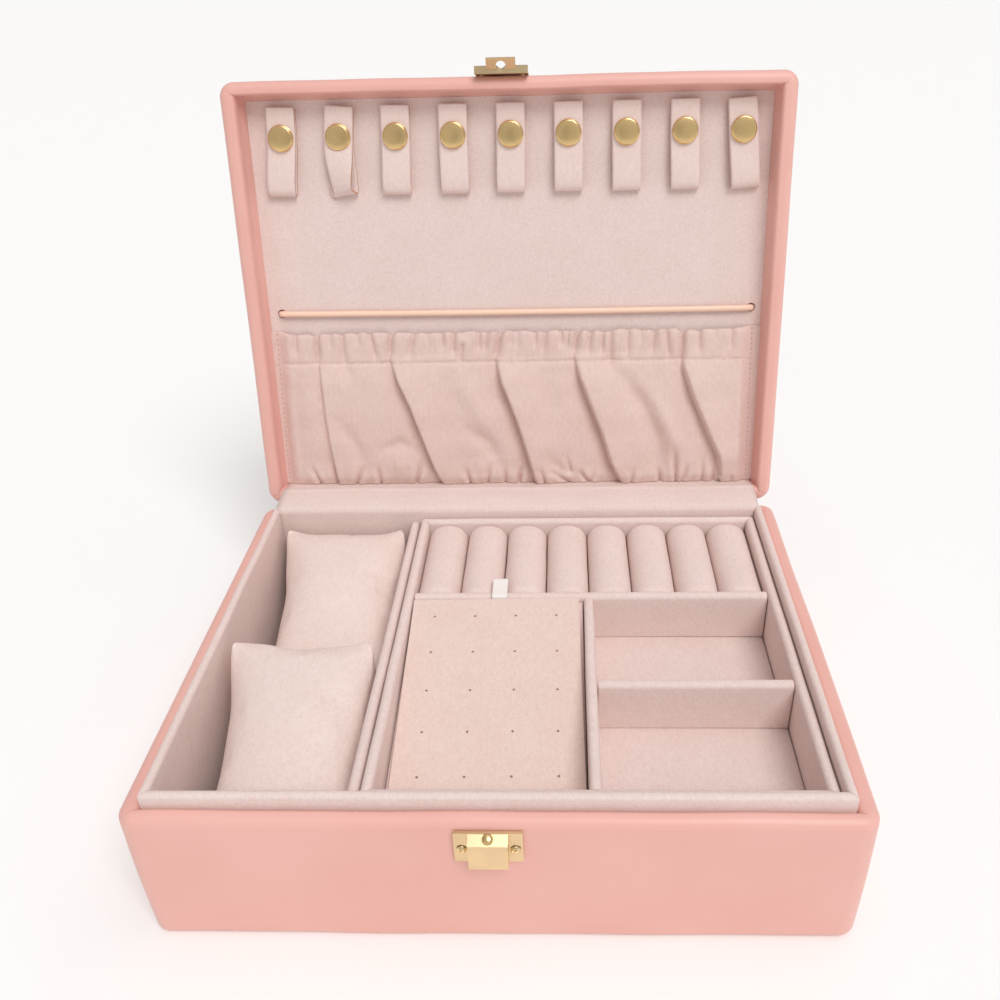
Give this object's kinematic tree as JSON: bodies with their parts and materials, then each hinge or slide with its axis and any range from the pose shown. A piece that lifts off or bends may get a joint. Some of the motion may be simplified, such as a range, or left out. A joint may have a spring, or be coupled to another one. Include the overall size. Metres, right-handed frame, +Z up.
{
  "type": "jewellery case",
  "caption": "Hinged leather jewellery case with a lift-out divided tray, ring rolls, earring plate, pillows, lid pocket and snap straps.",
  "frame": {"origin": "centre of the base's underside", "axes": "+X to the right as seen from the front, +Y to the back where the lid is hinged, +Z up"},
  "size_m": [0.27, 0.2872, 0.2766],
  "materials": {
    "pink_leather": "smooth satin leather, faint grain",
    "suede_lining": "short-napped microfibre suede",
    "suede_board": "short-napped microfibre suede on board",
    "pocket_fabric": "gathered microfibre suede",
    "plate_suede": "microfibre suede on a stiff plate",
    "pillow_fabric": "stuffed microfibre suede",
    "ring_roll_suede": "microfibre suede over foam",
    "strap_suede": "flat suede tape",
    "elastic_braid": "braided elastic with a satin sheen",
    "satin_ribbon": "woven satin",
    "polished_gold": "polished gold plate",
    "satin_gold": "satin gold plate",
    "hinge_brass": "plain brass"
  },
  "bodies": {
    "base": {"base_shell": "pink_leather", "base_liner": "suede_lining", "liner_floor": "suede_board", "partition_wall": "suede_lining", "tray_riser": "suede_board", "hinge_flap": "suede_lining", "leather_spine": "pink_leather", "hinge_leaf_base_left": "hinge_brass", "hinge_leaf_base_right": "hinge_brass", "hinge_pin_left": "hinge_brass", "hinge_pin_right": "hinge_brass", "clasp_body": "satin_gold", "clasp_screw_left": "satin_gold", "clasp_screw_right": "satin_gold"},
    "stud": {"catch_stud": "polished_gold"},
    "lid": {"lid_shell": "pink_leather", "lid_lining_panel": "suede_lining", "elastic_cord": "elastic_braid", "lid_pocket": "pocket_fabric", "hinge_leaf_lid_left": "hinge_brass", "hinge_leaf_lid_right": "hinge_brass", "hasp_plate": "satin_gold", "hasp_screw_left": "satin_gold", "hasp_screw_right": "satin_gold"},
    "tray": {"tray_frame": "suede_lining", "tray_floor": "suede_board", "ring_divider": "suede_lining", "plate_divider": "suede_lining", "cross_divider": "suede_lining", "plate_ledge": "suede_board", "ring_roll_1": "ring_roll_suede", "ring_roll_2": "ring_roll_suede", "ring_roll_3": "ring_roll_suede", "ring_roll_4": "ring_roll_suede", "ring_roll_5": "ring_roll_suede", "ring_roll_6": "ring_roll_suede", "ring_roll_7": "ring_roll_suede", "ring_roll_8": "ring_roll_suede"},
    "plate": {"earring_plate": "plate_suede", "pull_ribbon": "satin_ribbon"},
    "front_cushion": {"pillow_front": "pillow_fabric"},
    "rear_cushion": {"pillow_rear": "pillow_fabric"},
    "strap_leaf_1": {"strap_1": "strap_suede", "snap_cap_1": "polished_gold"},
    "strap_leaf_2": {"strap_2": "strap_suede", "snap_cap_2": "polished_gold"},
    "strap_leaf_3": {"strap_3": "strap_suede", "snap_cap_3": "polished_gold"},
    "strap_leaf_4": {"strap_4": "strap_suede", "snap_cap_4": "polished_gold"},
    "strap_leaf_5": {"strap_5": "strap_suede", "snap_cap_5": "polished_gold"},
    "strap_leaf_6": {"strap_6": "strap_suede", "snap_cap_6": "polished_gold"},
    "strap_leaf_7": {"strap_7": "strap_suede", "snap_cap_7": "polished_gold"},
    "strap_leaf_8": {"strap_8": "strap_suede", "snap_cap_8": "polished_gold"},
    "strap_leaf_9": {"strap_9": "strap_suede", "snap_cap_9": "polished_gold"}
  },
  "joints": [
    {"name": "lid_hinge", "type": "hinge", "parent": "base", "child": "lid", "pos_m": [0, 0.1061, 0.0633], "axis": [-1, 0, 0], "range_deg": [-102, 0], "deforming": ["hinge_flap", "leather_spine"]},
    {"name": "stud_press", "type": "slide", "parent": "base", "child": "stud", "axis": [0, 0.5792, -0.8152], "range_m": [0, 0.0012], "stiffness_N_per_m": 400, "springref_m": -0.002},
    {"name": "tray_lift", "type": "slide", "parent": "base", "child": "tray", "axis": [0, 0, 1], "range_m": [0, 0.08]},
    {"name": "plate_lift", "type": "slide", "parent": "tray", "child": "plate", "axis": [0, 0, 1], "range_m": [0, 0.04]},
    {"name": "front_pillow_lift", "type": "slide", "parent": "base", "child": "front_cushion", "axis": [0, 0, 1], "range_m": [0, 0.09]},
    {"name": "rear_pillow_lift", "type": "slide", "parent": "base", "child": "rear_cushion", "axis": [0, 0, 1], "range_m": [0, 0.09]},
    {"name": "strap_1_open", "type": "hinge", "parent": "lid", "child": "strap_leaf_1", "pos_m": [-0.1095, 0.15192, 0.21632], "axis": [1, 0, 0], "range_deg": [0, 110]},
    {"name": "strap_2_open", "type": "hinge", "parent": "lid", "child": "strap_leaf_2", "pos_m": [-0.08185, 0.15192, 0.21632], "axis": [1, 0, 0], "range_deg": [0, 110]},
    {"name": "strap_3_open", "type": "hinge", "parent": "lid", "child": "strap_leaf_3", "pos_m": [-0.0542, 0.15192, 0.21632], "axis": [1, 0, 0], "range_deg": [0, 110]},
    {"name": "strap_4_open", "type": "hinge", "parent": "lid", "child": "strap_leaf_4", "pos_m": [-0.02655, 0.15192, 0.21632], "axis": [1, 0, 0], "range_deg": [0, 110]},
    {"name": "strap_5_open", "type": "hinge", "parent": "lid", "child": "strap_leaf_5", "pos_m": [0.0011, 0.15192, 0.21632], "axis": [1, 0, 0], "range_deg": [0, 110]},
    {"name": "strap_6_open", "type": "hinge", "parent": "lid", "child": "strap_leaf_6", "pos_m": [0.02875, 0.15192, 0.21632], "axis": [1, 0, 0], "range_deg": [0, 110]},
    {"name": "strap_7_open", "type": "hinge", "parent": "lid", "child": "strap_leaf_7", "pos_m": [0.0564, 0.15192, 0.21632], "axis": [1, 0, 0], "range_deg": [0, 110]},
    {"name": "strap_8_open", "type": "hinge", "parent": "lid", "child": "strap_leaf_8", "pos_m": [0.08405, 0.15192, 0.21632], "axis": [1, 0, 0], "range_deg": [0, 110]},
    {"name": "strap_9_open", "type": "hinge", "parent": "lid", "child": "strap_leaf_9", "pos_m": [0.1117, 0.15192, 0.21632], "axis": [1, 0, 0], "range_deg": [0, 110]}
  ]
}
